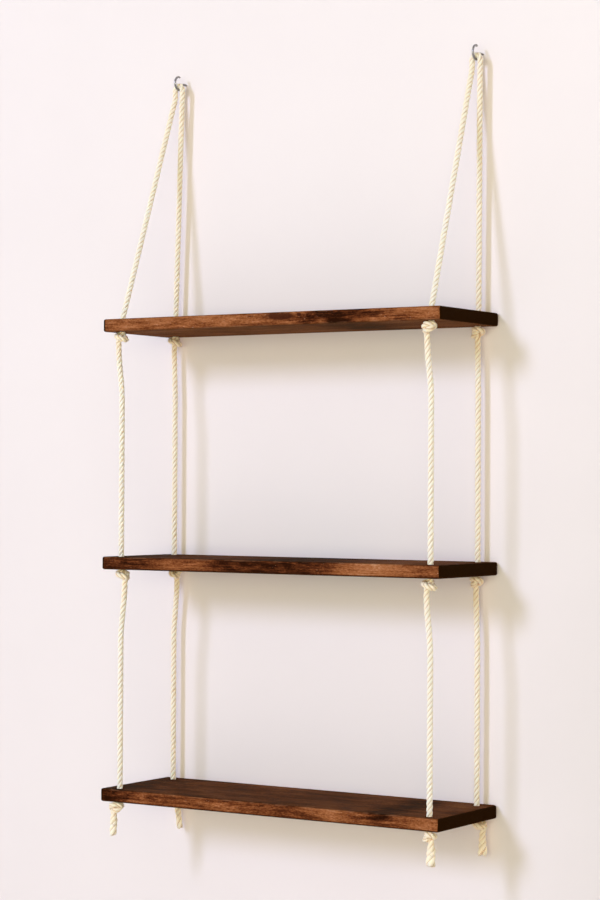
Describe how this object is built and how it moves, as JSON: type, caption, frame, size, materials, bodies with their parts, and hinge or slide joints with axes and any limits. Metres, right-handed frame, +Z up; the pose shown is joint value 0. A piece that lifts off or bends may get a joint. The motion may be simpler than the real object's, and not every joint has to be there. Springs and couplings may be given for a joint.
{
  "type": "hanging rope shelf",
  "caption": "Wall shelf of stained wooden boards strung on knotted cotton ropes, each rope looped over a screw hook in the wall.",
  "frame": {"origin": "on the wall's face, midway between the two hooks and level with their shanks", "axes": "+Z up, +Y into the wall, +X to the right as seen from the room"},
  "size_m": [0.61, 0.21, 1.2162],
  "materials": {
    "stained_wood": "dark walnut stain under thin satin oil, grain along the board, darker ends",
    "cotton_rope": "natural three-strand twisted cotton, matt, fuzzy cut ends",
    "plated_steel": "bright zinc plate, bent wire with a rolled wood thread"
  },
  "bodies": {
    "wall_hooks": {"left_screw_hook": "plated_steel", "right_screw_hook": "plated_steel"},
    "top_board_and_ropes": {"top_shelf": "stained_wood", "left_front_upper_strand": "cotton_rope", "left_rope_bight": "cotton_rope", "left_back_upper_strand": "cotton_rope", "right_front_upper_strand": "cotton_rope", "right_rope_bight": "cotton_rope", "right_back_upper_strand": "cotton_rope", "left_front_middle_span": "cotton_rope", "left_front_lower_span": "cotton_rope", "left_front_tail": "cotton_rope", "left_back_middle_span": "cotton_rope", "left_back_lower_span": "cotton_rope", "left_back_tail": "cotton_rope", "right_front_middle_span": "cotton_rope", "right_front_lower_span": "cotton_rope", "right_front_tail": "cotton_rope", "right_back_middle_span": "cotton_rope", "right_back_lower_span": "cotton_rope", "right_back_tail": "cotton_rope", "left_front_top_knot": "cotton_rope", "left_front_middle_knot": "cotton_rope", "left_front_bottom_knot": "cotton_rope", "left_back_top_knot": "cotton_rope", "left_back_middle_knot": "cotton_rope", "left_back_bottom_knot": "cotton_rope", "right_front_top_knot": "cotton_rope", "right_front_middle_knot": "cotton_rope", "right_front_bottom_knot": "cotton_rope", "right_back_top_knot": "cotton_rope", "right_back_middle_knot": "cotton_rope", "right_back_bottom_knot": "cotton_rope"},
    "middle_board": {"middle_shelf": "stained_wood"},
    "bottom_board": {"bottom_shelf": "stained_wood"}
  },
  "joints": [
    {"name": "swing_from_wall", "type": "hinge", "parent": "wall_hooks", "child": "top_board_and_ropes", "pos_m": [0, -0.02004, 0], "axis": [-1, 0, 0], "range_deg": [0, 20]},
    {"name": "middle_shelf_lift", "type": "slide", "parent": "top_board_and_ropes", "child": "middle_board", "axis": [0, 0, 1], "range_m": [0, 0.25]},
    {"name": "bottom_shelf_lift", "type": "slide", "parent": "top_board_and_ropes", "child": "bottom_board", "axis": [0, 0, 1], "range_m": [0, 0.25]}
  ]
}
